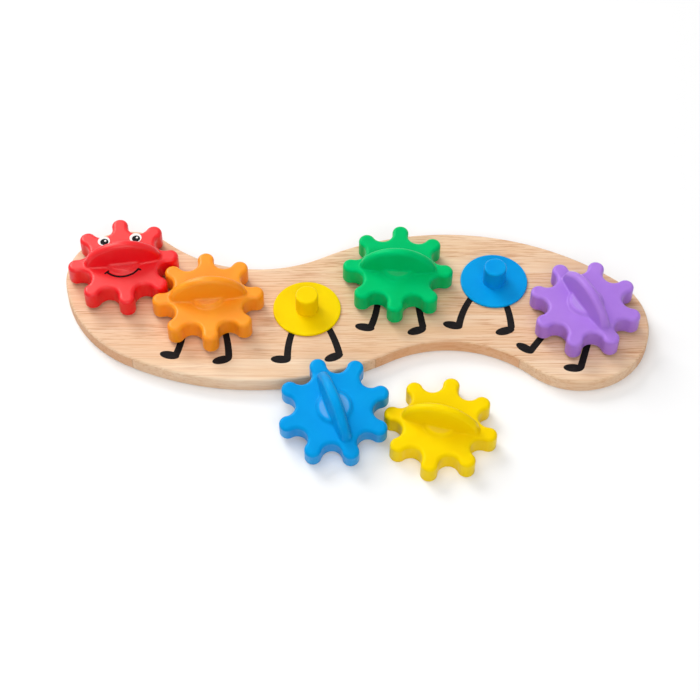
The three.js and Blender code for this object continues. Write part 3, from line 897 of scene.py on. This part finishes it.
def leaning():
    """The blue gear: its front teeth on the table, one back tooth on the board's edge."""
    spin = math.radians(SPIN["blue"])
    uphill_angle = spin + LEAN_TOOTH * TOOTH_PITCH
    uphill = polar(1, uphill_angle)
    axis = polar(1, uphill_angle - math.pi / 2)
    foot = NOSE_CENTRE * math.cos(HALF_PITCH) + NOSE_RADIUS
    flank = NOSE_CENTRE * math.sin(HALF_PITCH) + NOSE_RADIUS
    bulge_centre, bulge_radius, _ = ENDS[1][-1]
    rest = -bulge_centre
    radius = bulge_radius - BOARD_EDGE_ROUND
    contact = np.array(
        [LEAN_CONTACT_X, rest[1] - math.sqrt(radius**2 - (LEAN_CONTACT_X - rest[0]) ** 2)]
    )
    rise = BOARD_THICKNESS + SEAT_GAP
    angle = math.asin(rise / (2 * foot - LEAN_OVERLAP))
    height = foot * math.sin(angle)
    ahead = (rise - height) / math.tan(angle)
    centre = contact - uphill * ahead + axis * flank
    lean = Matrix.Rotation(angle, 4, Vector((axis[0], axis[1], 0)))
    return at(centre[0], centre[1], height) @ lean @ rotation_z(SPIN["blue"])


PLACES = {c: seated(c) for c in ("red", "orange", "green", "purple")}
PLACES["yellow"] = at(*YELLOW_GEAR_AT) @ rotation_z(SPIN["yellow"])
PLACES["blue"] = leaning()
for colour in COLOURS:
    gear = bpy.data.objects.new(f"{colour}_gear_moulding", gear_mesh.copy())
    bpy.context.scene.collection.objects.link(gear)
    dressed(
        gear, plastics[colour], f"{colour}_gear_body", f"{colour}_plastic", PLACES[colour],
        f"{colour}_gear",
    )


# Printed legs and face: thin plates, one a little thicker than the one it lies over.
PRINT_SHARP = 40


def film(name, outline, bottom, thickness):
    """A flat printed shape: a thin closed plate on a face at height bottom."""
    n = len(outline)
    points = [(x, y, z) for z in (bottom, bottom + thickness) for x, y in outline]
    faces = [list(range(n))[::-1], list(range(n, 2 * n))] + tube_faces(2, n)
    return new_piece(name, points, faces, PRINT_SHARP)


def ellipse(centre, half_long, half_short, tilt, steps=40):
    points = []
    for i in range(steps):
        a = 2 * math.pi * i / steps
        u, v = half_long * math.cos(a), half_short * math.sin(a)
        points.append(
            (
                centre[0] + u * math.cos(tilt) - v * math.sin(tilt),
                centre[1] + u * math.sin(tilt) + v * math.cos(tilt),
            )
        )
    return points


CAP_STEPS = 8


def stroke(path, start_width, end_width):
    """Outline of a line along a path, with round ends. Its width changes evenly on the way."""
    path = [np.array(p, float) for p in path]
    ways = [path[1] - path[0]] + [b - a for a, b in zip(path, path[2:])] + [path[-1] - path[-2]]
    angles = [math.atan2(w[1], w[0]) for w in ways]
    halves = np.linspace(start_width / 2, end_width / 2, len(path))
    quarter = math.pi / 2
    left = [tuple(p + polar(h, a + quarter)) for p, h, a in zip(path, halves, angles)]
    right = [tuple(p + polar(h, a - quarter)) for p, h, a in zip(path, halves, angles)]

    def cap(p, half, start):
        return [tuple(p + polar(half, start + math.pi * k / CAP_STEPS)) for k in range(1, CAP_STEPS)]

    end = cap(path[-1], halves[-1], angles[-1] - quarter)
    return right + end + left[::-1] + cap(path[0], halves[0], angles[0] + quarter)


def bent(start, end, bow, steps=10):
    """Points of a shallow bow from start to end, which stands off to the left by bow."""
    start, end = np.array(start, float), np.array(end, float)
    way = end - start
    aside = np.array([-way[1], way[0]]) / np.linalg.norm(way)
    shares = np.linspace(0, 1, steps + 1)
    return [start + way * t + aside * bow * 4 * t * (1 - t) for t in shares]


# Of each leg: hip, ankle and middle of the foot from its peg, how far it bows to its left on the way
# down, and the foot's tilt in degrees.
LEGS = {
    "orange_left": ((-17.6, -23), (-21.7, -40.4), (-25.8, -39.7), 0.5, -12),
    "orange_right": ((11.5, -18), (15.2, -41.0), (10.7, -43.8), 0.7, 16),
    "yellow_left": ((-9.7, -18), (-13.2, -42.6), (-17.8, -43.4), -1.0, -3),
    "yellow_right": ((13.2, -12), (22.5, -37.6), (18.9, -41.3), 0.9, 24),
    "green_left": ((-14.2, -18), (-18.8, -38.8), (-23.6, -40.6), 0.7, -11),
    "green_right": ((14.2, -19), (17.1, -39.7), (12.8, -43.6), -0.1, 19),
    "blue_left": ((-15.1, -12), (-26.5, -39.4), (-30.9, -38.8), -1.6, -14),
    "blue_right": ((6.9, -18), (10.2, -40.0), (5.6, -43.8), 0.8, 16),
    "purple_left": ((-26.2, -12), (-39.0, -29.6), (-42.7, -27.3), -0.1, -34),
    "purple_right": ((2.4, -20), (-5.1, -43.5), (-10.3, -44.3), 0.0, -4),
}
HIP_WIDTH, ANKLE_WIDTH = 4.5, 5.0
FOOT_HALF_LONG, FOOT_HALF_SHORT = 6.9, 3.35
LEG_THICKNESS, FOOT_THICKNESS = 0.06, 0.08
for name, (hip, ankle, foot, bow, tilt) in LEGS.items():
    x, y = PEG_AT[name.split("_")[0]]
    outline = stroke(bent(hip, ankle, bow), HIP_WIDTH, ANKLE_WIDTH)
    leg = film(f"{name}_leg_print", outline, BOARD_THICKNESS, LEG_THICKNESS)
    outline = ellipse(foot, FOOT_HALF_LONG, FOOT_HALF_SHORT, math.radians(tilt))
    toes = film(f"{name}_foot_print", outline, BOARD_THICKNESS, FOOT_THICKNESS)
    for piece in (leg, toes):
        dressed(piece, dark_ink, "board_and_pegs", "wood", at(x, y))

EYE_X, EYE_SHIFT, EYE_Y = 11.3, -1.0, 19.1
# of each part of an eye: its name, its middle from the eye's own, radius, thickness, points and ink
EYE_PARTS = (
    ("eye", (0, 0), 4.3, 0.05, 40, white_ink),
    ("pupil", (0.3, -0.8), 2.9, 0.09, 40, black_ink),
    ("spark", (1.0, 0.1), 0.8, 0.12, 20, white_ink),
)
for side, label in ((-1, "left"), (1, "right")):
    for part, (dx, dy), radius, thickness, steps, ink in EYE_PARTS:
        outline = ellipse((side * EYE_X + EYE_SHIFT + dx, EYE_Y + dy), radius, radius, 0, steps)
        spot = film(f"{label}_{part}_print", outline, GEAR_HEIGHT, thickness)
        dressed(spot, ink, "red_gear_body", "red_plastic", PLACES["red"])

SMILE_CENTRE, SMILE_RADIUS, SMILE_HALF = (-0.9, -1.4), 13.8, math.radians(53)
SMILE_WIDTH, SMILE_THICKNESS, SMILE_STEPS = 1.5, 0.06, 28
TICK_WIDTH, TICK_THICKNESS, TICK_HALF_LONG = 1.3, 0.08, 1.7
DOWN = -math.pi / 2
smile_path = arc(SMILE_CENTRE, SMILE_RADIUS, DOWN - SMILE_HALF, DOWN + SMILE_HALF, SMILE_STEPS)
outline = stroke(smile_path, SMILE_WIDTH, SMILE_WIDTH)
smile = film("smile_print", outline, GEAR_HEIGHT, SMILE_THICKNESS)
dressed(smile, black_ink, "red_gear_body", "red_plastic", PLACES["red"])
for end, label in ((smile_path[0], "left"), (smile_path[-1], "right")):
    half = polar(TICK_HALF_LONG, heading(np.array(SMILE_CENTRE), np.array(end)))
    outline = stroke([np.array(end) - half, np.array(end) + half], TICK_WIDTH, TICK_WIDTH)
    tick = film(f"smile_{label}_tick_print", outline, GEAR_HEIGHT, TICK_THICKNESS)
    dressed(tick, black_ink, "red_gear_body", "red_plastic", PLACES["red"])


# Floor, light and camera, in metres.
FLOOR_HALF = 6.0
FLOOR_Z = -0.00002  # a hair below 0, so that it isn't in one plane with the board's underside
FLOOR_COLOUR = (0.85, 0.85, 0.85, 1)
FLOOR_LIFT = 0.11  # brings the floor to white for the camera
WORLD_SEEN, WORLD_LIGHT = 1.0, 0.32
LIGHT_AIM = Vector((0, -0.05, 0.01))
# of each softbox: name, place, size and watts
SOFTBOXES = (
    ("key", (-1.2, 1.5, 1.6), (1.2, 1.0), 33),
    ("overhead", (-0.5, 0.2, 2.4), (1.6, 1.4), 18),
    ("fill", (0.2, -1.7, 1.6), (1.6, 1.0), 18),
)


def rays_that_show(tree):
    """1 for rays that the camera sees, straight or by way of gloss or glass, and 0 for the others."""
    path = tree.nodes.new("ShaderNodeLightPath")
    shown = path.outputs["Is Camera Ray"]
    for kind in ("Is Glossy Ray", "Is Transmission Ray"):
        either = tree.nodes.new("ShaderNodeMath")
        either.operation = "MAXIMUM"
        tree.links.new(shown, either.inputs[0])
        tree.links.new(path.outputs[kind], either.inputs[1])
        shown = either.outputs[0]
    return shown


def make_floor():
    mesh = bpy.data.meshes.new("floor")
    corners = [(x * FLOOR_HALF, y * FLOOR_HALF, FLOOR_Z) for x, y in ((-1, -1), (1, -1), (1, 1), (-1, 1))]
    mesh.from_pydata(corners, [], [[0, 1, 2, 3]])
    floor = bpy.data.objects.new("floor", mesh)
    bpy.context.scene.collection.objects.link(floor)
    material = bpy.data.materials.new("pale_floor")
    material.use_nodes = True
    tree = material.node_tree
    surface = tree.nodes["Principled BSDF"]
    surface.inputs["Base Color"].default_value = FLOOR_COLOUR
    surface.inputs["Roughness"].default_value = 0.9
    surface.inputs["Specular IOR Level"].default_value = 0.0
    surface.inputs["Emission Color"].default_value = (1, 1, 1, 1)
    lift = tree.nodes.new("ShaderNodeMath")
    lift.operation = "MULTIPLY"
    lift.inputs[1].default_value = FLOOR_LIFT
    tree.links.new(rays_that_show(tree), lift.inputs[0])
    tree.links.new(lift.outputs[0], surface.inputs["Emission Strength"])
    mesh.materials.append(material)


def make_world():
    world = bpy.data.worlds.new("studio")
    bpy.context.scene.world = world
    world.use_nodes = True
    tree = world.node_tree
    background = tree.nodes["Background"]
    background.inputs["Color"].default_value = (1, 1, 1, 1)
    choose = tree.nodes.new("ShaderNodeMapRange")
    choose.inputs["To Min"].default_value = WORLD_LIGHT
    choose.inputs["To Max"].default_value = WORLD_SEEN
    tree.links.new(rays_that_show(tree), choose.inputs["Value"])
    tree.links.new(choose.outputs["Result"], background.inputs["Strength"])


def softbox(name, place, size, power):
    data = bpy.data.lights.new(name, "AREA")
    data.shape = "RECTANGLE"
    data.size, data.size_y = size
    data.energy = power
    lamp = bpy.data.objects.new(name, data)
    bpy.context.scene.collection.objects.link(lamp)
    lamp.location = place
    lamp.rotation_mode = "QUATERNION"
    lamp.rotation_quaternion = (LIGHT_AIM - Vector(place)).to_track_quat("-Z", "Y")


# the photograph's camera, as fitted: its direction in degrees, what it looks at and from how far, and
# its focal length in pixels of a frame 700 wide
CAMERA_AZIMUTH, CAMERA_ELEVATION, CAMERA_ROLL = -0.9, 53.44, 0.74
CAMERA_AIM = Vector((-1.95, -47.88, 12.0)) * MM
CAMERA_DISTANCE = 1.25
FOCAL_PIXELS, FRAME_PIXELS = 1800, 700
SENSOR_WIDTH = 36  # millimetres
CLIP_NEAR, CLIP_FAR = 0.05, 20


def make_camera():
    azimuth, elevation, roll = (
        math.radians(a) for a in (CAMERA_AZIMUTH, CAMERA_ELEVATION, CAMERA_ROLL)
    )
    ahead = Vector((
        -math.sin(azimuth) * math.cos(elevation),
        math.cos(azimuth) * math.cos(elevation),
        -math.sin(elevation),
    ))
    right = Vector((math.cos(azimuth), math.sin(azimuth), 0))
    up = right.cross(ahead)
    rolled_right = math.cos(roll) * right + math.sin(roll) * up
    rolled_up = -math.sin(roll) * right + math.cos(roll) * up
    data = bpy.data.cameras.new("photo_camera")
    data.sensor_fit = "HORIZONTAL"
    data.sensor_width = SENSOR_WIDTH
    data.lens = FOCAL_PIXELS / FRAME_PIXELS * SENSOR_WIDTH
    data.clip_start, data.clip_end = CLIP_NEAR, CLIP_FAR
    camera = bpy.data.objects.new("photo_camera", data)
    bpy.context.scene.collection.objects.link(camera)
    turn = Matrix((rolled_right, rolled_up, -ahead)).transposed().to_4x4()
    camera.matrix_world = Matrix.Translation(CAMERA_AIM - ahead * CAMERA_DISTANCE) @ turn
    return camera


make_floor()
make_world()
for box in SOFTBOXES:
    softbox(*box)
bpy.context.scene.camera = make_camera()
bpy.context.scene.view_settings.view_transform = "Standard"
